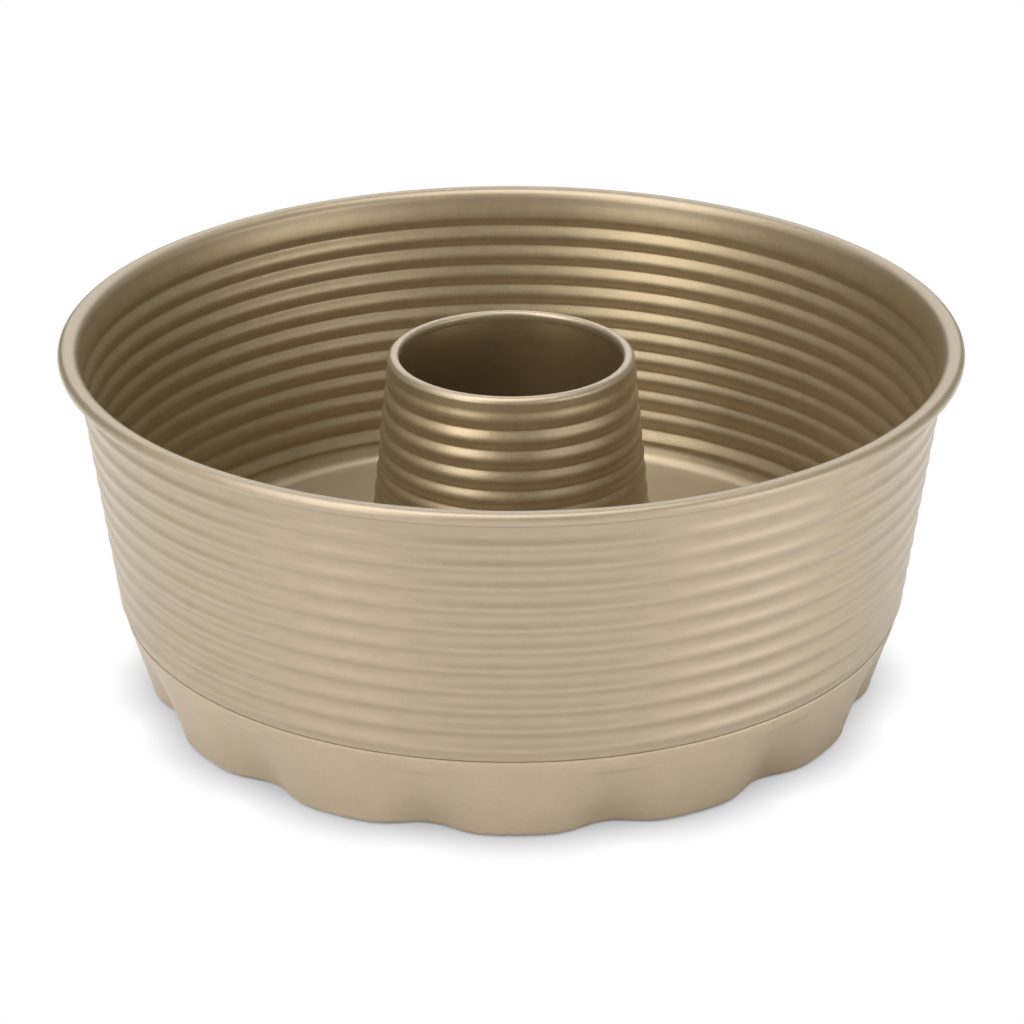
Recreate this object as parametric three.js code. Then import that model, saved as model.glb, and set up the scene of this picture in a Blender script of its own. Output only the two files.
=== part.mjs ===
// Ribbed tube pan with a scalloped base, in millimetres, +Z up, front towards -Y, standing on z = 0.
// A pan pressing with a wired rim sits in a scalloped base cup. A ribbed centre tube stands on the
// pan floor, and its lip rolls in over the top of a smooth liner.
import * as THREE from "three";

// Sheet and fits
const sheet = 0.7; // thickness of every pressed sheet
const seamGap = 0.35; // clearance where two pieces meet

// Rim and ribbed wall
const rimDiameter = 250; // over the curled edge
const panHeight = 102.5; // table to the top of the rim
const wireDiameter = 1.6;
const curlSweep = 250; // degrees that the edge wraps round the wire
const flareRadius = 2.5; // bend from the wall out to the rim
const rimFlat = 1; // level rim between the flare and the curl
const wallDraft = 7.5; // degrees
const ribPitch = 6.14;
const ribDepth = 0.8; // crest to groove
const rimBand = 4.8; // least plain height from the top groove to the flare

// Pan bottom and the base cup that holds it
const baseHeight = 26; // table to the cup's top edge
const creaseHeight = 0.5; // cup edge to the pan's groove over it
const shoulderRise = 0.4; // groove to the foot of the lowest rib
const seatDrop = 1.2; // groove to the widest line of the pan's seat
const shoulderInset = 3.9; // lowest rib crest to the seat
const crimpInset = 0.1; // cup edge turned in over the seat
const floorDrop = 4.3; // seat to the pan's floor
const floorFillet = 9; // outer radius under the floor's edge
const cupDraft = 11; // degrees
const cupInset = 0.45; // lobe crests inside the cup's seat
const lobeCount = 13;
const lobeDepth = 4.6; // crest to valley, at the foot
const lobeEase = 0.7; // below 1 deepens the valleys soon under the cup's edge
const lobePower = 2.5; // above 1 gives broad lobes and narrow valleys
const lobeTurn = 1; // degrees that the front lobe's centre lies towards +X
const footRadius = 3; // round between the cup's side and its bottom
const collarBend = 1.5; // bend from a flat bottom to a collar round the liner
const cupCollar = 7; // height of the cup's collar
const panCollar = 4.5; // depth of the floor's collar, turned down

// Centre tube and its liner
const tubeHeight = 96.1; // table to the top of the lip
const tubeDraft = 6; // degrees
const tubeRibPitch = 5.65;
const tubeRibDepth = 0.8;
const crestDrop = 6.9; // top of the lip to the highest rib crest
const tubeFootBend = 2;
const tubeFlange = 0.6; // foot on the pan floor, past the bend
const boreRadius = 31.25; // inside the lip
const lipWidth = 3.2; // bore to the outside of the lip
const lipProud = 0.15; // lip past the tube's rib crests, carried up to its height
const lipRound = 1.7; // outer radius of the lip's shoulder
const lipBend = 0.6; // bend from the lip's top into the bore
const lipHem = 1.6; // lip edge turned down inside the liner
const linerRoom = 4.3; // tube's grooves to the liner at the floor, middle to middle
const linerLift = 0.4; // liner's lower edge above the table

// Facets
const turnSteps = 36; // round the pan
const lobeSteps = 6; // along one lobe
const ribSteps = 2; // along one rib
const bendSteps = 2; // along a small bend
const lipSteps = 3; // along the lip's shoulder
const filletSteps = 4;
const curlSteps = 6;
const wireSides = 6;

const radians = THREE.MathUtils.degToRad;
const slope = (degrees) => Math.tan(radians(degrees));
const at = (radius, height) => new THREE.Vector2(radius, height);

// Heights that the pieces share, from the table up
const grooveHeight = baseHeight + creaseHeight;
const seatHeight = grooveHeight - seatDrop;
const floorHeight = seatHeight - floorDrop;
const floorMiddle = floorHeight - sheet / 2;
const lowRibHeight = grooveHeight + shoulderRise + ribPitch / 2;
const flareHeight = panHeight - sheet / 2 - flareRadius;
const ribGaps = Math.floor((flareHeight - rimBand - lowRibHeight) / ribPitch - 0.5);

// The wire lies in the middle of the curled edge
const curlOuter = wireDiameter / 2 + seamGap + sheet;
const curlCentre = at(rimDiameter / 2 - curlOuter, panHeight - curlOuter);

// Middle of the pan's wall, as a radius that changes with the height
const flareCentre = at(curlCentre.x - rimFlat, flareHeight);
const wallTop = flareCentre.x - flareRadius / Math.cos(radians(wallDraft));
const wallPath = (z) => wallTop - (flareHeight - z) * slope(wallDraft);

// Middles of the tube, the liner inside it, and the collars round the liner
const hemPath = boreRadius + sheet / 2;
const tubeTop = boreRadius + lipWidth - lipProud - (tubeRibDepth + sheet) / 2;
const tubePath = (z) => tubeTop + (tubeHeight - z) * slope(tubeDraft);
const linerTop = hemPath + sheet + seamGap;
const linerHeight = tubeHeight - sheet - seamGap;
const linerSpread = tubePath(floorHeight) - tubeRibDepth / 2 - linerRoom - linerTop;
const linerSlope = linerSpread / (linerHeight - floorHeight);
const linerPath = (z) => linerTop + (linerHeight - z) * linerSlope;
const linerLean = Math.atan(linerSlope);
const leanDegrees = THREE.MathUtils.radToDeg(linerLean);
const collarPath = (z) => linerPath(z) + (sheet + seamGap) / Math.cos(linerLean);

// The pan's seat and the fillet under its floor, which the top of the cup follows
const seatRadius = wallPath(lowRibHeight) + (ribDepth + sheet) / 2 - shoulderInset;
const filletRise = floorHeight - sheet + floorFillet;
const filletRun = Math.sqrt(floorFillet ** 2 - (filletRise - seatHeight) ** 2);
const filletCentre = at(seatRadius - filletRun, filletRise);

// Points along an arc, from one angle to another in degrees.
function arc(centre, radius, from, to, steps) {
  return Array.from({ length: steps + 1 }, (_, i) => {
    const angle = radians(from + ((to - from) * i) / steps);
    return at(centre.x + radius * Math.cos(angle), centre.y + radius * Math.sin(angle));
  });
}

// Points up a ribbed sheet, from the groove under its lowest crest to the groove over its highest.
function ribs(path, lowCrest, gaps, pitch, depth) {
  const count = (gaps + 1) * ribSteps;
  return Array.from({ length: count + 1 }, (_, i) => {
    const turns = i / ribSteps - 0.5;
    const z = lowCrest + turns * pitch;
    return at(path(z) + (depth / 2) * Math.cos(2 * Math.PI * turns), z);
  });
}

// Closed outline of a sheet whose middle follows the path.
function sheetOutline(path) {
  const inner = [];
  const outer = [];
  path.forEach((point, i) => {
    const before = path[Math.max(i, 1)].clone().sub(path[Math.max(i, 1) - 1]).normalize();
    const next = Math.min(i + 1, path.length - 1);
    const after = path[next].clone().sub(path[next - 1]).normalize();
    const along = before.clone().add(after).normalize();
    const reach = sheet / 2 / along.dot(after);
    const across = at(-along.y, along.x).multiplyScalar(reach);
    inner.push(point.clone().add(across));
    outer.push(point.clone().sub(across));
  });
  const outline = [...outer, ...inner.reverse()];
  if (THREE.ShapeUtils.area(outline) < 0) outline.reverse();
  return [...outline, outline[0]];
}

// A sheet turned about the Z axis.
function turnedSheet(path) {
  return new THREE.LatheGeometry(sheetOutline(path), turnSteps).rotateX(Math.PI / 2);
}

// A sheet whose path changes with the angle round the Z axis, measured from the front.
function lobedSheet(pathAt) {
  const steps = lobeCount * lobeSteps;
  const angles = Array.from({ length: steps + 1 }, (_, i) => (2 * Math.PI * i) / steps);
  const geometry = new THREE.LatheGeometry(sheetOutline(pathAt(0)), steps);
  const positions = geometry.getAttribute("position");
  angles.forEach((angle, i) => {
    const outline = sheetOutline(pathAt(angle));
    outline.forEach((point, j) => {
      const x = point.x * Math.sin(angle);
      const depth = point.x * Math.cos(angle);
      positions.setXYZ(i * outline.length + j, x, point.y, depth);
    });
  });
  geometry.computeVertexNormals();
  return geometry.rotateX(Math.PI / 2).rotateZ(radians(lobeTurn));
}

// Floor collar, floor, seat, ribbed wall and the edge curled round the wire.
function panShellPath() {
  const bendHeight = floorMiddle - collarBend;
  const bendCentre = at(collarPath(bendHeight) + collarBend / Math.cos(linerLean), bendHeight);
  const collarFoot = floorMiddle - panCollar;
  const seatAngle = THREE.MathUtils.radToDeg(Math.atan2(seatHeight - filletCentre.y, filletRun));
  const grooveRadius = seatRadius - crimpInset - sheet / 2;
  return [
    at(collarPath(collarFoot), collarFoot),
    ...arc(bendCentre, collarBend, 180 + leanDegrees, 90, bendSteps),
    ...arc(filletCentre, floorFillet - sheet / 2, -90, seatAngle, filletSteps),
    at(grooveRadius, grooveHeight),
    ...ribs(wallPath, lowRibHeight, ribGaps, ribPitch, ribDepth),
    ...arc(flareCentre, flareRadius, 180 - wallDraft, 90, bendSteps),
    ...arc(curlCentre, curlOuter - sheet / 2, 90, 90 - curlSweep, curlSteps),
  ];
}

// Crimped edge, seat under the pan's fillet, lobed side, flat bottom and a collar round the liner.
function baseShellPath(angle) {
  const roofRadius = floorFillet + seamGap + sheet / 2;
  const roofFoot = filletCentre.y - roofRadius;
  const roofRun = (z) => Math.sqrt(Math.max(roofRadius ** 2 - (filletCentre.y - z) ** 2, 0));
  const roofPath = (z) => filletCentre.x + roofRun(z);
  const lobe = ((1 - Math.cos(lobeCount * angle)) / 2) ** lobePower;
  const crestPath = (z) => roofPath(seatHeight) - cupInset - (seatHeight - z) * slope(cupDraft);
  const fall = (z) => ((seatHeight - z) / (seatHeight - footRadius)) ** lobeEase;
  const sidePath = (z) => crestPath(z) - lobeDepth * lobe * fall(z);
  const roof = Array.from({ length: filletSteps + 1 }, (_, i) => {
    const z = seatHeight + ((roofFoot - seatHeight) * i) / filletSteps;
    return at(Math.max(roofPath(z), sidePath(z)), z);
  });
  const round = footRadius - sheet / 2;
  const footCentre = at(sidePath(footRadius) - round, footRadius);
  const bendHeight = sheet / 2 + collarBend;
  const bendCentre = at(collarPath(bendHeight) + collarBend / Math.cos(linerLean), bendHeight);
  return [
    at(roofPath(seatHeight) - crimpInset, baseHeight),
    ...roof,
    ...arc(footCentre, round, 0, -90, bendSteps),
    ...arc(bendCentre, collarBend, -90, -180 + leanDegrees, bendSteps),
    at(collarPath(cupCollar), cupCollar),
  ];
}

// Foot on the floor, ribs, a plain band and the lip rolled in over the liner.
function tubeShellPath() {
  const flangeHeight = floorHeight + seamGap + sheet / 2;
  const bendHeight = flangeHeight + tubeFootBend;
  const bendCentre = at(tubePath(bendHeight) + tubeFootBend / Math.cos(radians(tubeDraft)), bendHeight);
  const highCrest = tubeHeight - crestDrop;
  const gaps = Math.floor((highCrest - bendHeight) / tubeRibPitch - 0.5);
  const lowCrest = highCrest - gaps * tubeRibPitch;
  const ribbed = ribs(tubePath, lowCrest, gaps, tubeRibPitch, tubeRibDepth);
  const lipOuter = boreRadius + lipWidth;
  const shoulder = at(lipOuter - lipRound, tubeHeight - lipRound);
  const lipEdge = at(hemPath + lipBend, tubeHeight - sheet / 2 - lipBend);
  return [
    at(bendCentre.x + tubeFlange, flangeHeight),
    ...arc(bendCentre, tubeFootBend, -90, -180 + tubeDraft, bendSteps),
    ...ribbed.filter((point) => point.y < highCrest + tubeRibPitch / 4),
    at(lipOuter - sheet / 2, highCrest + tubeRibPitch / 2),
    ...arc(shoulder, lipRound - sheet / 2, 0, 90, lipSteps),
    ...arc(lipEdge, lipBend, 90, 180, bendSteps),
    at(hemPath, lipEdge.y - lipHem),
  ];
}

// Smooth cone that stands inside the tube, its top edge under the lip.
function tubeLinerPath() {
  return [at(linerPath(linerLift), linerLift), at(linerTop, linerHeight)];
}

const coating = { color: 0xb8a88a, roughness: 0.42, metalness: 0.55 };
const bareSteel = { color: 0x9a9a98, roughness: 0.35, metalness: 0.9 };

const pan = new THREE.Group();

function addPiece(name, geometry, finish) {
  const mesh = new THREE.Mesh(geometry, new THREE.MeshStandardMaterial(finish));
  mesh.name = name;
  pan.add(mesh);
  return mesh;
}

addPiece("pan_shell", turnedSheet(panShellPath()), coating);
addPiece("base_shell", lobedSheet(baseShellPath), coating);
addPiece("tube_shell", turnedSheet(tubeShellPath()), coating);
addPiece("tube_liner", turnedSheet(tubeLinerPath()), coating);

const wire = new THREE.TorusGeometry(curlCentre.x, wireDiameter / 2, wireSides, turnSteps);
addPiece("rim_wire", wire.rotateZ(-Math.PI / 2), bareSteel).position.z = curlCentre.y;

export default pan;
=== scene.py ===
import math

import bmesh
import bpy
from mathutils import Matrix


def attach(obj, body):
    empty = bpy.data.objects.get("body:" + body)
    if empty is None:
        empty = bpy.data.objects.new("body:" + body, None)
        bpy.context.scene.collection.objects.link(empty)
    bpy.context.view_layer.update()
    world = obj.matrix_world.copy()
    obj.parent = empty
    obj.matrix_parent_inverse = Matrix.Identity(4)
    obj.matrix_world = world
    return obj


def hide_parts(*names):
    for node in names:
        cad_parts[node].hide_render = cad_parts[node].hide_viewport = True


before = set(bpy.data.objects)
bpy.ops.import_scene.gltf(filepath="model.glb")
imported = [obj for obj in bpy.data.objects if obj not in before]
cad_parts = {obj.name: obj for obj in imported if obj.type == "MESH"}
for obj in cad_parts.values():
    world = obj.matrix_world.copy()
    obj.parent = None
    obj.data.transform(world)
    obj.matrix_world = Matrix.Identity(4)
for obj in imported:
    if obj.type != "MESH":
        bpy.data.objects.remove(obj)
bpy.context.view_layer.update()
print("frame loaded:", sorted(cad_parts))

mm = 0.001
sheetThickness = 0.7       # every pressed sheet, in mm
half = sheetThickness / 2  # from a sheet's middle to its faces
seamGap = 0.35             # clearance between two sheets
mergeDistance = 0.004      # points closer than this become one
cutEdge = {"round": 0.16, "segments": 2, "angle": 60, "smoothAngle": 32}  # mm and degrees


# section lines: (radius, height) pairs in mm

def tanDegrees(angle):
    return math.tan(math.radians(angle))


def zeroToOne(value):
    return min(max(value, 0), 1)


def arcPoints(centre, radius, start, end, steps):
    turns = [math.radians(start + (end - start) * i / steps) for i in range(steps + 1)]
    return [(centre[0] + radius * math.cos(t), centre[1] + radius * math.sin(t)) for t in turns]


def linePoints(start, end, steps):  # ends left out
    return [(start[0] + (end[0] - start[0]) * i / steps,
             start[1] + (end[1] - start[1]) * i / steps) for i in range(1, steps)]


def curvePoints(start, leave, arrive, end, steps):  # a smooth curve between two points, ends left out
    handles = (start, leave, arrive, end)
    points = []
    for i in range(1, steps):
        t = i / steps
        shares = ((1 - t) ** 3, 3 * t * (1 - t) ** 2, 3 * t * t * (1 - t), t ** 3)
        points.append(tuple(sum(p * q[k] for p, q in zip(shares, handles)) for k in (0, 1)))
    return points


def pointAlong(start, end, distance):  # on the line from start to end, behind start if below zero
    share = distance / math.dist(start, end)
    return (start[0] + (end[0] - start[0]) * share, start[1] + (end[1] - start[1]) * share)


def besideLine(points, distance):  # a line at one distance from another, on its right
    moved = []
    for i, here in enumerate(points):
        before, after = points[max(i - 1, 0)], points[min(i + 1, len(points) - 1)]
        run = math.dist(before, after)
        moved.append((here[0] + distance * (after[1] - before[1]) / run,
                      here[1] - distance * (after[0] - before[0]) / run))
    return moved


def withoutRepeats(points, least=0.02):  # drops a point that lies on the one before it
    kept = [points[0]]
    for point in points[1:]:
        if math.dist(point, kept[-1]) > least:
            kept.append(point)
    return kept


def ridge(turns, soft):  # 1 on a narrow ridge at whole turns, -1 in the round hollow between
    top = math.sqrt(1 + soft ** 2) - soft
    return 1 - 2 * (math.sqrt(math.sin(math.pi * turns) ** 2 + soft ** 2) - soft) / top


# modelling steps

def deselectAll():
    bpy.ops.object.select_all(action="DESELECT")


def startPoint(position):  # a plane shrunk to the first point of a section line
    bpy.ops.mesh.primitive_plane_add(size=mm, location=(0, 0, 0))
    if bpy.context.mode != "EDIT_MESH":
        bpy.ops.object.mode_set(mode="EDIT")
    bpy.ops.mesh.select_mode(type="VERT")
    bpy.ops.mesh.merge(type="CENTER")
    bpy.ops.transform.translate(value=position)


def drawSection(points, azimuth=0.0):
    side = (math.cos(azimuth), math.sin(azimuth))
    places = [(r * side[0] * mm, r * side[1] * mm, z * mm) for r, z in points]
    startPoint(places[0])
    for here, there in zip(places, places[1:]):
        move = tuple(b - a for a, b in zip(here, there))
        bpy.ops.mesh.extrude_vertices_move(TRANSFORM_OT_translate={"value": move})


def newPiece(name):
    piece = bpy.context.object
    piece.name = piece.data.name = name
    return piece


def spinRound(steps, copies=False):  # a whole turn, then the seam is closed and the faces point one way
    bpy.ops.mesh.select_all(action="SELECT")
    bpy.ops.mesh.spin(steps=steps, angle=2 * math.pi, center=(0, 0, 0), axis=(0, 0, 1), dupli=copies)
    bpy.ops.mesh.select_all(action="SELECT")
    bpy.ops.mesh.remove_doubles(threshold=mergeDistance * mm)
    bpy.ops.mesh.normals_make_consistent(inside=False)
    bpy.ops.object.mode_set(mode="OBJECT")


def applyModifier(piece, kind, **settings):
    bpy.ops.object.modifier_add(type=kind)
    added = piece.modifiers[-1]
    for name, value in settings.items():
        setattr(added, name, value)
    bpy.ops.object.modifier_apply(modifier=added.name)


def thicken(piece):  # half the sheet to each side of the drawn line
    applyModifier(piece, "SOLIDIFY", thickness=sheetThickness * mm, offset=0.0, use_even_offset=True)


def softenEdges(piece, edgeRound=cutEdge["round"]):
    applyModifier(piece, "BEVEL", width=edgeRound * mm, segments=cutEdge["segments"],
                  limit_method="ANGLE", angle_limit=math.radians(cutEdge["angle"]))
    bpy.ops.object.shade_smooth_by_angle(angle=math.radians(cutEdge["smoothAngle"]))
    print(piece.name, len(piece.data.polygons), "faces")


def turnedSheet(name, points, steps, closed=False):  # a closed section already has both faces
    deselectAll()
    drawSection(withoutRepeats(points))
    piece = newPiece(name)
    spinRound(steps)
    if not closed:
        thicken(piece)
    softenEdges(piece)
    return piece


# wire inside the curled rim
wire = {"diameter": 1.6, "sides": 14}

# pan: floor with a collar, fillet, seat in the cup, ribbed wall, curled rim
pan = {
    "rimRadius": 125.0, "height": 102.5, "rimFlat": 1.0, "flareRadius": 2.5, "curlSweep": 250,
    "wallDraft": 7.5, "ribPitch": 6.14, "ribDepth": 0.85, "ribCount": 11, "ribFoot": 26.9, "ribSoft": 0.3,
    "seatRadius": 108.8, "seatHeight": 25.3, "grooveReach": 0.3, "grooveHeight": 26.6, "grooveRound": 0.8,
    "floorHeight": 21.0, "floorFillet": 5.5, "collarDepth": 4.5, "collarBend": 1.5,
    # last rib of the baking side: its foot and crest, and how far its curve runs on at each point
    "lastRibFoot": 23.9, "lastRibCrest": 26.6, "lastRibInset": 0.25, "lastRibSlack": 0.1,
    "lastRibLeave": 1.2, "lastRibUnder": (0.3, 0.9), "lastRibOver": 0.6, "lastRibArrive": 0.6,
    # where the baking side's finish fades, glossier and in a darker tone that is painted shade: towards
    # the rim, and from the fillet to the level floor, which keeps the outside's lighter tone as painted
    # light
    "insideEnd": 120.5, "insideFade": 2.0, "floorLevel": 0.95, "floorFade": 0.5,
    # how finely each stretch is drawn
    "turnSteps": 180, "ribSteps": 14, "bendSteps": 6, "floorSteps": 8, "filletSteps": 12, "grooveSteps": 6,
    "bandSteps": 5, "flareSteps": 8, "curlSteps": 22, "lastRibSteps": (8, 10),
}

curlOuter = wire["diameter"] / 2 + seamGap + sheetThickness
curlCentre = (pan["rimRadius"] - curlOuter, pan["height"] - curlOuter)
flareCentre = (curlCentre[0] - pan["rimFlat"], pan["height"] - half - pan["flareRadius"])
wallTop = flareCentre[0] - pan["flareRadius"] / math.cos(math.radians(pan["wallDraft"]))
lowCrest = pan["ribFoot"] + pan["ribPitch"] / 2
floorMiddle = pan["floorHeight"] - half
filletHeight = pan["floorHeight"] - sheetThickness + pan["floorFillet"]
filletCentre = (
    pan["seatRadius"] - math.sqrt(pan["floorFillet"] ** 2 - (filletHeight - pan["seatHeight"]) ** 2),
    filletHeight,
)


def wallRadius(z):
    return wallTop - (flareCentre[1] - z) * tanDegrees(pan["wallDraft"])


def panSection():  # the middle of the sheet, from the collar out and up to the curl
    bend = pan["collarBend"]
    collarFoot = floorMiddle - pan["collarDepth"]
    bendCentre = (collarRadius(floorMiddle - bend) + bend / math.cos(linerLean), floorMiddle - bend)
    points = [(collarRadius(collarFoot), collarFoot)]
    points += arcPoints(bendCentre, bend, 180 + math.degrees(linerLean), 90, pan["bendSteps"])
    points += linePoints(points[-1], (filletCentre[0], floorMiddle), pan["floorSteps"])
    seatAngle = -math.degrees(math.asin((filletCentre[1] - pan["seatHeight"]) / pan["floorFillet"]))
    points += arcPoints(filletCentre, pan["floorFillet"] - half, -90, seatAngle, pan["filletSteps"])

    # small round over the cup's edge, out to the foot of the ribs
    turnOut = pan["grooveRound"]
    groove = (pan["seatRadius"] + pan["grooveReach"] - half, pan["grooveHeight"])
    points += arcPoints((groove[0] + turnOut, groove[1] - turnOut), turnOut, 180, 90, pan["grooveSteps"])
    points.append((wallRadius(pan["ribFoot"]) - pan["ribDepth"] / 2, pan["ribFoot"]))
    for i in range(1, pan["ribCount"] * pan["ribSteps"] + 1):
        turns = i / pan["ribSteps"] - 0.5  # whole on the crests
        z = lowCrest + turns * pan["ribPitch"]
        points.append((wallRadius(z) + pan["ribDepth"] / 2 * ridge(turns, pan["ribSoft"]), z))

    # plain band, half straight and half eased, from the top groove to the flare
    flare = arcPoints(flareCentre, pan["flareRadius"], 180 - pan["wallDraft"], 90, pan["flareSteps"])
    bandStart = points[-1]
    for i in range(1, pan["bandSteps"]):
        share = i / pan["bandSteps"]
        ease = share * share * (3 - 2 * share)
        points.append((bandStart[0] + (flare[0][0] - bandStart[0]) * (share + ease) / 2,
                       bandStart[1] + (flare[0][1] - bandStart[1]) * share))
    points += flare
    points += arcPoints(curlCentre, curlOuter - half, 90, 90 - pan["curlSweep"], pan["curlSteps"])
    return points


def panLoop():  # both faces of the pan, with one last rib on the baking side over the floor's fillet
    middle = withoutRepeats(panSection())
    outer = besideLine(middle, half)
    inner = besideLine(middle, -half)
    footIndex = next(i for i, point in enumerate(inner) if point[1] > pan["lastRibFoot"])
    topIndex = next(i for i, point in enumerate(inner) if point[1] > lowCrest - pan["lastRibSlack"])
    before, foot = inner[footIndex - 2], inner[footIndex - 1]
    below, top = inner[topIndex - 1], inner[topIndex]
    crest = (pan["seatRadius"] - pan["lastRibInset"], pan["lastRibCrest"])
    leave = pointAlong(foot, before, -pan["lastRibLeave"])
    under = (crest[0] + pan["lastRibUnder"][0], crest[1] - pan["lastRibUnder"][1])
    over = (crest[0], crest[1] + pan["lastRibOver"])
    arrive = pointAlong(top, below, pan["lastRibArrive"])
    face = inner[:footIndex]
    face += curvePoints(foot, leave, under, crest, pan["lastRibSteps"][0])
    face.append(crest)
    face += curvePoints(crest, over, arrive, top, pan["lastRibSteps"][1])
    face += inner[topIndex:]
    return outer + face[::-1] + outer[:1]


def makeWire():
    deselectAll()
    bpy.ops.mesh.primitive_circle_add(
        vertices=wire["sides"], radius=wire["diameter"] / 2 * mm,
        location=(curlCentre[0] * mm, 0, curlCentre[1] * mm), rotation=(math.pi / 2, 0, 0))
    piece = newPiece("rimWire")
    bpy.ops.object.transform_apply(location=True, rotation=True, scale=True)
    bpy.ops.object.mode_set(mode="EDIT")
    spinRound(pan["turnSteps"])
    bpy.ops.object.shade_smooth()
    print("rimWire", len(piece.data.polygons), "faces")
    return piece


# centre tube, whose lip rolls in over the liner
tube = {
    "height": 96.1, "draft": 6.0, "ribPitch": 5.65, "ribDepth": 0.8, "ribCount": 12, "ribSoft": 0.3,
    "crestDrop": 6.3, "footBend": 2.0, "footFlange": 0.6, "boreRadius": 31.25, "lipWidth": 3.2,
    "lipProud": 0.15, "lipRound": 1.7, "lipBend": 0.6, "hem": 1.6,
    "lipLitShare": 0.7, "lipFade": 1.0,  # share of the lip's greyer tone, painted light on its upward-facing top, and the height it fades in over
    "turnSteps": 128, "ribSteps": 14, "bendSteps": 6, "bandSteps": 5, "shoulderSteps": 8,
}

hemRadius = tube["boreRadius"] + half
lipOuter = tube["boreRadius"] + tube["lipWidth"]
tubeTop = lipOuter - tube["lipProud"] - (tube["ribDepth"] + sheetThickness) / 2


def tubeRadius(z):
    return tubeTop + (tube["height"] - z) * tanDegrees(tube["draft"])


def tubeSection():
    flangeHeight = pan["floorHeight"] + seamGap + half
    bend = tube["footBend"]
    bendHeight = flangeHeight + bend
    bendCentre = (tubeRadius(bendHeight) + bend / math.cos(math.radians(tube["draft"])), bendHeight)
    points = [(bendCentre[0] + tube["footFlange"], flangeHeight)]
    points += arcPoints(bendCentre, bend, -90, -180 + tube["draft"], tube["bendSteps"])
    highCrest = tube["height"] - tube["crestDrop"]
    count = int((tube["ribCount"] - 0.5) * tube["ribSteps"])  # half a rib is left out at the foot
    for i in range(count + 1):
        turns = (i - count) / tube["ribSteps"]
        z = highCrest + turns * tube["ribPitch"]
        points.append((tubeRadius(z) - tube["ribDepth"] / 2 * ridge(turns + 0.5, tube["ribSoft"]), z))

    # plain band, shoulder, level top and the edge turned down inside the liner
    crest = points[-1]
    steps = tube["bandSteps"]
    for i in range(1, steps + 1):
        ease = (1 - math.cos(math.pi * i / steps)) / 2
        points.append((crest[0] + (lipOuter - half - crest[0]) * ease,
                       crest[1] + tube["ribPitch"] * i / (2 * steps)))
    shoulder = (lipOuter - tube["lipRound"], tube["height"] - tube["lipRound"])
    lipEdge = (hemRadius + tube["lipBend"], tube["height"] - half - tube["lipBend"])
    points += arcPoints(shoulder, tube["lipRound"] - half, 0, 90, tube["shoulderSteps"])
    points += arcPoints(lipEdge, tube["lipBend"], 90, 180, tube["bendSteps"])
    points.append((hemRadius, lipEdge[1] - tube["hem"]))
    return points


# liner: smooth inner tube, from just over the table to under the lip
liner = {"room": 4.3, "lift": 0.4, "turnSteps": 128, "wallSteps": 12}

linerTop = (hemRadius + sheetThickness + seamGap, tube["height"] - sheetThickness - seamGap)
linerLow = tubeRadius(pan["floorHeight"]) - tube["ribDepth"] / 2 - liner["room"]  # at the pan's floor
linerSlope = (linerLow - linerTop[0]) / (linerTop[1] - pan["floorHeight"])
linerLean = math.atan(linerSlope)


def linerRadius(z):
    return linerTop[0] + (linerTop[1] - z) * linerSlope


def collarRadius(z):  # a collar that fits round the liner
    return linerRadius(z) + (sheetThickness + seamGap) / math.cos(linerLean)


def linerSection():
    low = (linerRadius(liner["lift"]), liner["lift"])
    return [low] + linePoints(low, linerTop, liner["wallSteps"]) + [linerTop]


# base cup: half a lobe bridged from section lines, mirrored and copied round
cup = {
    "edgeHeight": 26.2, "edgeRound": 0.12, "draft": 15.9, "reach": 0.3, "roofGap": 0.1, "roofEnd": -89,
    "lobeCount": 13, "lobeDepth": 4.6, "lobePower": 2.5, "lobeTurn": 1.0,
    "edgeBlend": 0.2, "valleyBlend": 2.5, "blendDepth": 4.0,  # soft turn from the pan's fillet to the side
    "footRadius": 3.0, "collarHeight": 7.0,
    "columns": 12, "roofSteps": 16, "sideSteps": 10, "footSteps": 8, "floorSteps": 8, "bendSteps": 5,
}


def smoothMax(a, b, width):
    spread = max(width - abs(a - b), 0) / width
    return max(a, b) + spread * spread * width / 4


def cupSection(turn):  # turn: 0 on a lobe's crest, 1 in the valley
    roofRadius = pan["floorFillet"] + cup["roofGap"] + half
    seatSine = (filletCentre[1] - pan["seatHeight"]) / roofRadius
    roofTop = filletCentre[0] + roofRadius * math.sqrt(1 - seatSine ** 2)
    lobe = ((1 - math.cos(math.pi * turn)) / 2) ** cup["lobePower"]

    def side(z):  # valleys deepen evenly from the seat to the foot
        drop = max(pan["seatHeight"] - z, 0)
        fall = drop / (pan["seatHeight"] - cup["footRadius"])
        return roofTop + cup["reach"] - drop * tanDegrees(cup["draft"]) - cup["lobeDepth"] * lobe * fall

    points = [(side(pan["seatHeight"]), cup["edgeHeight"])]

    # the sheet lies round the pan's fillet where the side would cut into it
    seatAngle = math.degrees(math.asin(seatSine))
    for r, z in arcPoints(filletCentre, roofRadius, -seatAngle, cup["roofEnd"], cup["roofSteps"]):
        deep = zeroToOne((pan["seatHeight"] - z) / cup["blendDepth"])
        points.append((smoothMax(r, side(z), cup["edgeBlend"] + cup["valleyBlend"] * lobe * deep), z))
    low = (side(cup["footRadius"]), cup["footRadius"])
    points += [(side(z), z) for r, z in linePoints(points[-1], low, cup["sideSteps"])]
    footRound = cup["footRadius"] - half
    points += arcPoints((low[0] - footRound, low[1]), footRound, 0, -90, cup["footSteps"])

    # flat bottom and a collar turned up round the liner
    bend = pan["collarBend"]
    bendHeight = half + bend
    bendCentre = (collarRadius(bendHeight) + bend / math.cos(linerLean), bendHeight)
    points += linePoints(points[-1], (bendCentre[0], half), cup["floorSteps"])
    points += arcPoints(bendCentre, bend, -90, -180 + math.degrees(linerLean), cup["bendSteps"])
    points.append((collarRadius(cup["collarHeight"]), cup["collarHeight"]))
    return points


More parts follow.
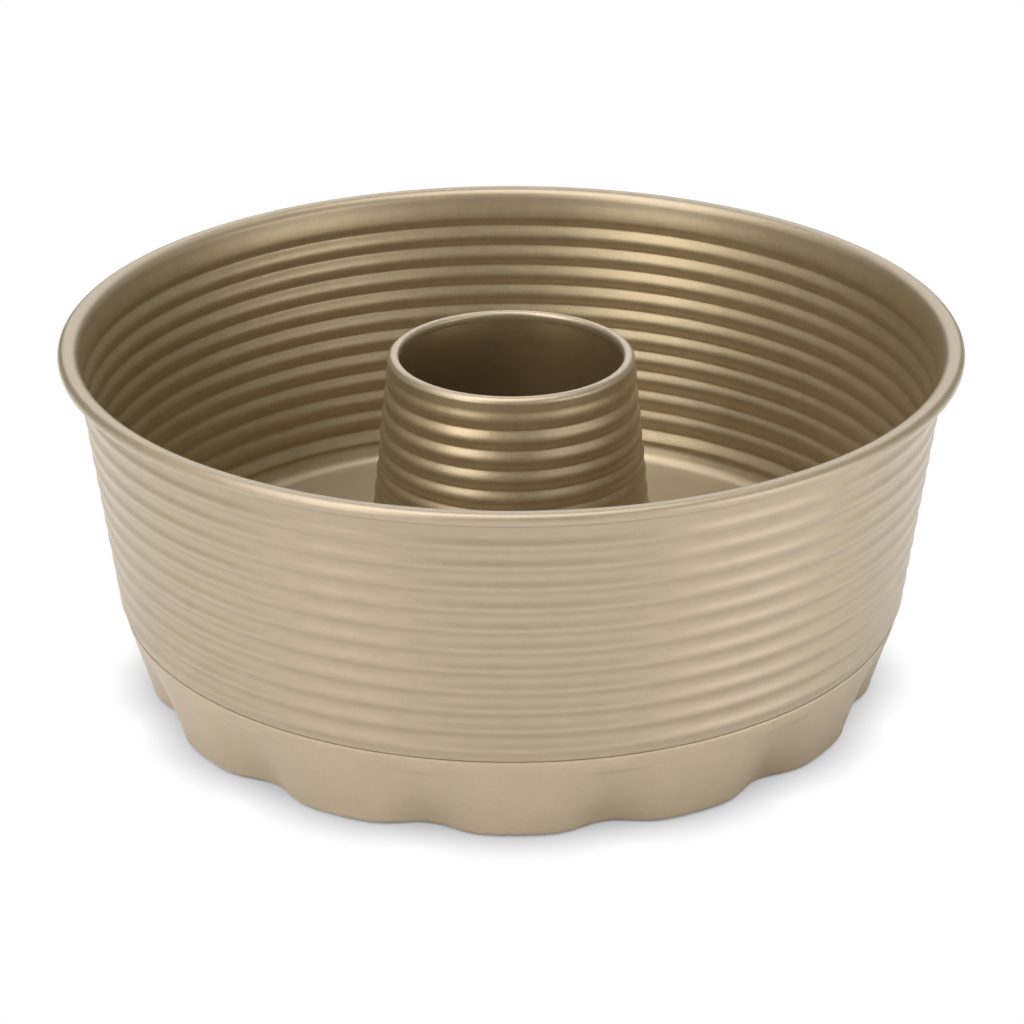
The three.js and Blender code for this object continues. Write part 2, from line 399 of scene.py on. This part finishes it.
def selectColumns(piece, first, second, near=1e-4):  # edges that lie at either azimuth, in radians
    bpy.ops.mesh.select_all(action="DESELECT")
    mesh = bmesh.from_edit_mesh(piece.data)
    for edge in mesh.edges:
        turns = [math.atan2(corner.co.x, -corner.co.y) for corner in edge.verts]
        if any(max(abs(turn - column) for turn in turns) < near for column in (first, second)):
            edge.select_set(True)
    bmesh.update_edit_mesh(piece.data)


def makeCup():
    deselectAll()
    halfLobe = math.pi / cup["lobeCount"]
    turns = [halfLobe * i / cup["columns"] for i in range(cup["columns"] + 1)]
    for turn in turns:
        drawSection(cupSection(turn / halfLobe), turn - math.pi / 2)
    piece = newPiece("baseCup")
    bpy.ops.mesh.select_mode(type="EDGE")
    for first, second in zip(turns, turns[1:]):
        selectColumns(piece, first, second)
        bpy.ops.mesh.bridge_edge_loops()
    bpy.ops.object.mode_set(mode="OBJECT")
    applyModifier(piece, "MIRROR", use_axis=(True, False, False), merge_threshold=mergeDistance * mm)
    bpy.ops.object.mode_set(mode="EDIT")
    spinRound(cup["lobeCount"], copies=True)
    piece.rotation_euler.z = math.radians(cup["lobeTurn"])
    bpy.ops.object.transform_apply(location=False, rotation=True, scale=False)
    thicken(piece)
    softenEdges(piece, cup["edgeRound"])
    return piece


panPiece = turnedSheet("panShell", panLoop(), pan["turnSteps"], closed=True)
tubePiece = turnedSheet("tubeShell", tubeSection(), tube["turnSteps"])
linerPiece = turnedSheet("tubeLiner", linerSection(), liner["turnSteps"])
cupPiece = makeCup()
wirePiece = makeWire()


def markInside(piece, rule):  # 1 where a coat's second finish lies, 0 where its first does; the two are partly lit and shaded copies of one coat, painted light and shade
    mark = piece.data.attributes.new("bakingSideAndPaintedLight", "FLOAT", "POINT")
    for corner, value in zip(piece.data.vertices, mark.data):
        value.value = rule(corner)


def panInside(corner):
    radius = math.hypot(corner.co.x, corner.co.y)
    outward = (corner.normal.x * corner.co.x + corner.normal.y * corner.co.y) / radius
    fade = zeroToOne((pan["insideEnd"] - radius / mm) / pan["insideFade"])
    if corner.co.z < pan["ribFoot"] * mm:  # painted light: the level floor keeps the outside's lighter tone
        fade = zeroToOne((pan["floorLevel"] - corner.normal.z) / pan["floorFade"])
    return fade if corner.normal.z > outward else 0.0


def tubeInside(corner):  # the ribs get the tube's lighter tone, the lip mostly its greyer one; both are painted light
    low = (tube["height"] - tube["lipRound"]) * mm
    return 1 - tube["lipLitShare"] * zeroToOne((corner.co.z - low) / (tube["lipFade"] * mm))


markInside(panPiece, panInside)
markInside(cupPiece, lambda corner: 0.0)
markInside(tubePiece, tubeInside)
markInside(linerPiece, lambda corner: 1.0)

for piece, node, finish in (
    (panPiece, "pan_shell", "champagne_coating"),
    (cupPiece, "base_shell", "champagne_coating"),
    (tubePiece, "tube_shell", "champagne_coating"),
    (linerPiece, "tube_liner", "champagne_coating"),
    (wirePiece, "rim_wire", "steel_wire"),
):
    bpy.context.view_layer.objects.active = piece
    deselectAll()
    piece.select_set(True)
    bpy.ops.object.transform_apply(location=True, rotation=True, scale=True)
    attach(piece, "root")
    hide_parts(node)
print("pieces on the frame")


# finishes: copies of one champagne coat with fine flakes, each in a light and a dark tone under varnish;
# the copies differ partly by painted light and shade
coat = {
    "outside": {"light": (0.384, 0.308, 0.209), "dark": (0.333, 0.267, 0.18), "roughness": 0.45,
                "metallic": 0.65, "varnish": 0.6},
    # base: the same coat in a lighter tone, painted light on the base cup
    "base": {"light": (0.45, 0.362, 0.25), "dark": (0.39, 0.314, 0.216), "roughness": 0.45,
             "metallic": 0.65, "varnish": 0.6},
    # tubeLip: a greyer tone for the lip's upward-facing top, painted light
    "tubeLip": {"light": (0.38, 0.306, 0.213), "dark": (0.33, 0.266, 0.185), "roughness": 0.42,
                "metallic": 0.65, "varnish": 0.8},
    # tube: lighter than the pan's inside, painted light on the tube's ribs
    "tube": {"light": (0.45, 0.35, 0.2), "dark": (0.335, 0.26, 0.148), "roughness": 0.43,
             "metallic": 0.85, "varnish": 0.9},
    # inside: glossier and more metallic than the outside; its darker tone is painted shade
    "inside": {"light": (0.362, 0.28, 0.153), "dark": (0.262, 0.202, 0.11), "roughness": 0.43,
               "metallic": 0.85, "varnish": 0.9},
    # bore: darker than the inside, painted shade down the bore
    "bore": {"light": (0.31, 0.215, 0.108), "dark": (0.25, 0.173, 0.085), "roughness": 0.46,
             "metallic": 0.85, "varnish": 0.5},
    "varnishRoughness": 0.35,
}
flakeGrain = {
    "flakeScale": 2400, "mottleScale": 160, "mottleDetail": 3,
    "flakeTone": 0.55, "flakeRoughness": 0.08, "bumpStrength": 0.25, "bumpHeight": 0.00008,
}
wireSteel = {"colour": (0.55, 0.55, 0.54), "smooth": 0.28, "rough": 0.46}


def addNode(tree, kind, place, **values):
    node = tree.nodes.new(kind)
    node.location = place
    for name, value in values.items():
        setattr(node, name, value)
    return node


def newMaterial(name):
    material = bpy.data.materials.new(name)
    material.use_nodes = True
    return material


def makeGrainGroup():
    group = bpy.data.node_groups.new("flakeGrain", "ShaderNodeTree")
    for name, scale in (("Flake Scale", "flakeScale"), ("Mottle Scale", "mottleScale")):
        socket = group.interface.new_socket(name, in_out="INPUT", socket_type="NodeSocketFloat")
        socket.default_value = flakeGrain[scale]
    for name in ("Flake", "Mottle", "Height"):
        group.interface.new_socket(name, in_out="OUTPUT", socket_type="NodeSocketFloat")
    given = addNode(group, "NodeGroupInput", (-700, 0))
    made = addNode(group, "NodeGroupOutput", (500, 0))
    place = addNode(group, "ShaderNodeTexCoord", (-700, 300))
    flakes = addNode(group, "ShaderNodeTexVoronoi", (-300, 300))
    grit = addNode(group, "ShaderNodeTexNoise", (-300, -50))
    mottle = addNode(group, "ShaderNodeTexNoise", (-300, -350))
    link = group.links.new
    for texture in (flakes, grit, mottle):
        link(place.outputs["Object"], texture.inputs["Vector"])
    link(given.outputs["Flake Scale"], flakes.inputs["Scale"])
    link(given.outputs["Flake Scale"], grit.inputs["Scale"])
    link(given.outputs["Mottle Scale"], mottle.inputs["Scale"])
    mottle.inputs["Detail"].default_value = flakeGrain["mottleDetail"]
    parts = addNode(group, "ShaderNodeSeparateColor", (-50, 300))
    link(flakes.outputs["Color"], parts.inputs["Color"])
    link(parts.outputs["Red"], made.inputs["Flake"])
    link(mottle.outputs["Fac"], made.inputs["Mottle"])
    link(grit.outputs["Fac"], made.inputs["Height"])
    return group


grainGroup = makeGrainGroup()


def mixValue(tree, mask, place, low, high):  # low where the mask is 0, high where it is 1
    mix = addNode(tree, "ShaderNodeMapRange", place)
    mix.inputs["To Min"].default_value = low
    mix.inputs["To Max"].default_value = high
    tree.links.new(mask, mix.inputs["Value"])
    return mix.outputs["Result"]


def makeCoat(name, outside, inside):
    material = newMaterial(name)
    tree = material.node_tree
    link = tree.links.new
    shader = tree.nodes["Principled BSDF"]
    grain = addNode(tree, "ShaderNodeGroup", (-1200, 0), node_tree=grainGroup)
    side = addNode(tree, "ShaderNodeAttribute", (-1200, 400), attribute_name="bakingSideAndPaintedLight")
    mask = side.outputs["Fac"]

    # flakes and mottle choose between the two tones of each finish
    blend = addNode(tree, "ShaderNodeMath", (-950, 200), operation="MULTIPLY_ADD")
    blend.inputs[1].default_value = flakeGrain["flakeTone"]
    link(grain.outputs["Flake"], blend.inputs[0])
    link(grain.outputs["Mottle"], blend.inputs[2])
    tones = []
    for row, face in enumerate((outside, inside)):
        tone = addNode(tree, "ShaderNodeMix", (-700, 400 - 250 * row), data_type="RGBA")
        tone.inputs["A"].default_value = (*face["dark"], 1)
        tone.inputs["B"].default_value = (*face["light"], 1)
        link(blend.outputs[0], tone.inputs["Factor"])
        tones.append(tone.outputs["Result"])
    # the mask picks between a coat's two copies, which differ partly in painted light and shade
    colour = addNode(tree, "ShaderNodeMix", (-400, 300), data_type="RGBA")
    link(mask, colour.inputs["Factor"])
    link(tones[0], colour.inputs["A"])
    link(tones[1], colour.inputs["B"])
    link(colour.outputs["Result"], shader.inputs["Base Color"])

    rough, metal, varnish = [
        mixValue(tree, mask, (-700, -150 - 250 * row), outside[value], inside[value])
        for row, value in enumerate(("roughness", "metallic", "varnish"))]
    spread = addNode(tree, "ShaderNodeMath", (-400, -150), operation="MULTIPLY_ADD")
    spread.inputs[1].default_value = flakeGrain["flakeRoughness"]
    link(grain.outputs["Flake"], spread.inputs[0])
    link(rough, spread.inputs[2])
    link(spread.outputs[0], shader.inputs["Roughness"])
    link(metal, shader.inputs["Metallic"])
    link(varnish, shader.inputs["Coat Weight"])
    shader.inputs["Coat Roughness"].default_value = coat["varnishRoughness"]

    bump = addNode(tree, "ShaderNodeBump", (-400, -500))
    bump.inputs["Strength"].default_value = flakeGrain["bumpStrength"]
    bump.inputs["Distance"].default_value = flakeGrain["bumpHeight"]
    link(grain.outputs["Height"], bump.inputs["Height"])
    link(bump.outputs["Normal"], shader.inputs["Normal"])
    return material


def makeWireSteel():
    material = newMaterial("drawnWire")
    tree = material.node_tree
    shader = tree.nodes["Principled BSDF"]
    grain = addNode(tree, "ShaderNodeGroup", (-600, 0), node_tree=grainGroup)
    rough = mixValue(tree, grain.outputs["Mottle"], (-300, 0), wireSteel["smooth"], wireSteel["rough"])
    tree.links.new(rough, shader.inputs["Roughness"])
    shader.inputs["Base Color"].default_value = (*wireSteel["colour"], 1)
    shader.inputs["Metallic"].default_value = 1.0
    return material


champagneCoat = makeCoat("champagneCoat", coat["outside"], coat["inside"])
# painted light: the base cup's lighter copy of the coat
litBaseCoat = makeCoat("litBaseCoat", coat["base"], coat["base"])
# painted light: lighter and greyer copies of the coat for the tube's ribs and lip
litTubeCoat = makeCoat("litTubeCoat", coat["tubeLip"], coat["tube"])
# painted shade: the bore's darker copy of the coat
shadedBoreCoat = makeCoat("shadedBoreCoat", coat["bore"], coat["bore"])
drawnWire = makeWireSteel()
for piece, finish in ((panPiece, champagneCoat), (cupPiece, litBaseCoat), (tubePiece, litTubeCoat),
                      (linerPiece, shadedBoreCoat), (wirePiece, drawnWire)):
    piece.data.materials.clear()
    piece.data.materials.append(finish)
print("finishes on")


# floor, light and camera: places and sizes in metres, lens and sensor in mm
studio = {
    "floorSize": 8, "floorWhite": (0.9, 0.9, 0.9), "floorNear": 0.1, "floorFar": 0.15,
    "shadowReach": 0.012, "shadowDepth": 0.5, "shadowSamples": 8, "aimHeight": 0.06,
    "lens": 124.68, "sensorWidth": 36, "cameraPlace": (0.0002, -0.9164, 0.4592), "cameraPitch": 24.187,
}

# broad sky light from each side, strongest along its direction
sky = {
    "up": {"toward": (0, 0, 1), "strength": 0.064},
    "right": {"toward": (1, 0, 0), "strength": 0.42},
}

# light thrown back by the floor on each side
floorGlow = {
    "right": {"toward": (1, 0, 0), "strength": 0.176},
    "front": {"toward": (0, -1, 0), "strength": 0.078},
    "back": {"toward": (0, 1, 0), "strength": 0.3},
}

# softboxes: place, size and power, each turned to the pan
softboxes = {
    "top": {"place": (0.0, 0.0, 1.6), "size": (1.2, 1.2), "power": 16.1},
    "key": {"place": (-0.7, -0.45, 1.2), "size": (0.7, 0.7), "power": 8.6},
    "high": {"place": (-0.5, 0.0, 1.3), "size": (0.35, 0.35), "power": 0.67},
    "highBack": {"place": (-0.4, 0.35, 1.2), "size": (0.35, 0.35), "power": 1.0},
    "frontLeft": {"place": (-1.1, -1.2, 0.7), "size": (0.8, 0.8), "power": 12.6},
    "frontRight": {"place": (1.1, -1.2, 0.7), "size": (0.8, 0.8), "power": 3.5},
    "sideLeft": {"place": (-1.5, 0.0, 0.5), "size": (1.0, 0.8), "power": 1.4},
    "lowRight": {"place": (1.2, -0.6, 0.25), "size": (0.9, 0.5), "power": 5.1},
    "lowFront": {"place": (0.2, -1.6, 0.3), "size": (0.8, 0.3), "power": 0.98},
    "back": {"place": (0.0, 1.6, 0.8), "size": (1.4, 0.8), "power": 6.5},
}


def sideLight(tree, direction, sides):  # sum of lights that are each strongest along one direction
    total = None
    for row, side in enumerate(sides.values()):
        facing = addNode(tree, "ShaderNodeVectorMath", (-900, -200 * row), operation="DOT_PRODUCT")
        facing.inputs[1].default_value = side["toward"]
        front = addNode(tree, "ShaderNodeMath", (-700, -200 * row), operation="MAXIMUM")
        front.inputs[1].default_value = 0.0
        share = addNode(tree, "ShaderNodeMath", (-500, -200 * row), operation="MULTIPLY_ADD")
        share.inputs[1].default_value = side["strength"]
        share.inputs[2].default_value = 0.0
        tree.links.new(direction, facing.inputs[0])
        tree.links.new(facing.outputs["Value"], front.inputs[0])
        tree.links.new(front.outputs[0], share.inputs[0])
        if total:
            tree.links.new(total, share.inputs[2])
        total = share.outputs[0]
    return total


def makePaper():
    material = newMaterial("whitePaper")
    tree = material.node_tree
    tree.nodes.clear()
    link = tree.links.new
    output = addNode(tree, "ShaderNodeOutputMaterial", (900, 0))

    # what the camera sees: white with a narrow contact shadow
    near = addNode(tree, "ShaderNodeAmbientOcclusion", (-200, 500), samples=studio["shadowSamples"])
    near.inputs["Distance"].default_value = studio["shadowReach"]
    deep = addNode(tree, "ShaderNodeMath", (0, 500), operation="POWER")
    deep.inputs[1].default_value = studio["shadowDepth"]
    seen = addNode(tree, "ShaderNodeEmission", (200, 500))
    link(near.outputs["AO"], deep.inputs[0])
    link(deep.outputs[0], seen.inputs["Strength"])

    # what lights the pan: white paper, with bounce from the floor beyond it
    lit = addNode(tree, "ShaderNodeBsdfDiffuse", (200, 250))
    lit.inputs["Color"].default_value = (*studio["floorWhite"], 1)
    place = addNode(tree, "ShaderNodeTexCoord", (-1300, 0))
    reach = addNode(tree, "ShaderNodeVectorMath", (-1100, 200), operation="LENGTH")
    clear = addNode(tree, "ShaderNodeMapRange", (-300, 200))
    clear.inputs["From Min"].default_value = studio["floorNear"]
    clear.inputs["From Max"].default_value = studio["floorFar"]
    toward = addNode(tree, "ShaderNodeVectorMath", (-1100, 0), operation="NORMALIZE")
    link(place.outputs["Object"], reach.inputs[0])
    link(place.outputs["Object"], toward.inputs[0])
    link(reach.outputs["Value"], clear.inputs["Value"])
    bounce = addNode(tree, "ShaderNodeMath", (0, 0), operation="MULTIPLY")
    link(sideLight(tree, toward.outputs[0], floorGlow), bounce.inputs[0])
    link(clear.outputs["Result"], bounce.inputs[1])
    glow = addNode(tree, "ShaderNodeEmission", (200, 0))
    link(bounce.outputs[0], glow.inputs["Strength"])
    both = addNode(tree, "ShaderNodeAddShader", (450, 100))
    link(lit.outputs[0], both.inputs[0])
    link(glow.outputs[0], both.inputs[1])

    ray = addNode(tree, "ShaderNodeLightPath", (450, 700))
    choose = addNode(tree, "ShaderNodeMixShader", (700, 0))
    link(ray.outputs["Is Camera Ray"], choose.inputs[0])
    link(both.outputs[0], choose.inputs[1])
    link(seen.outputs[0], choose.inputs[2])
    link(choose.outputs[0], output.inputs["Surface"])
    return material


def makeFloor():
    deselectAll()
    bpy.ops.mesh.primitive_plane_add(size=studio["floorSize"], location=(0, 0, 0))
    paper = newPiece("studioFloor")
    paper.data.materials.append(makePaper())
    return paper


def makeSky():
    world = bpy.data.worlds.new("studioSky")
    bpy.context.scene.world = world
    world.use_nodes = True
    tree = world.node_tree
    background = tree.nodes["Background"]
    background.inputs["Color"].default_value = (1, 1, 1, 1)
    direction = addNode(tree, "ShaderNodeTexCoord", (-1300, 0))
    tree.links.new(sideLight(tree, direction.outputs["Generated"], sky), background.inputs["Strength"])


def makeSoftboxes():
    for name, box in softboxes.items():
        bpy.ops.object.light_add(type="AREA", location=box["place"])
        lamp = bpy.context.object
        lamp.name = name + "Light"
        lamp.data.shape = "RECTANGLE"
        lamp.data.size, lamp.data.size_y = box["size"]
        lamp.data.energy = box["power"]
        away = lamp.location.copy()  # from a point on the pan's axis, which the lamp is aimed at
        away.z -= studio["aimHeight"]
        lamp.rotation_euler = away.to_track_quat("Z", "Y").to_euler()


def makeCamera():
    bpy.ops.object.camera_add(location=studio["cameraPlace"],
                              rotation=(math.radians(90 - studio["cameraPitch"]), 0, 0))
    camera = bpy.context.object
    camera.data.lens = studio["lens"]
    camera.data.sensor_width = studio["sensorWidth"]
    bpy.context.scene.camera = camera
    bpy.context.scene.view_settings.view_transform = "Standard"


floor = makeFloor()
makeSky()
makeSoftboxes()
makeCamera()
print("studio ready")
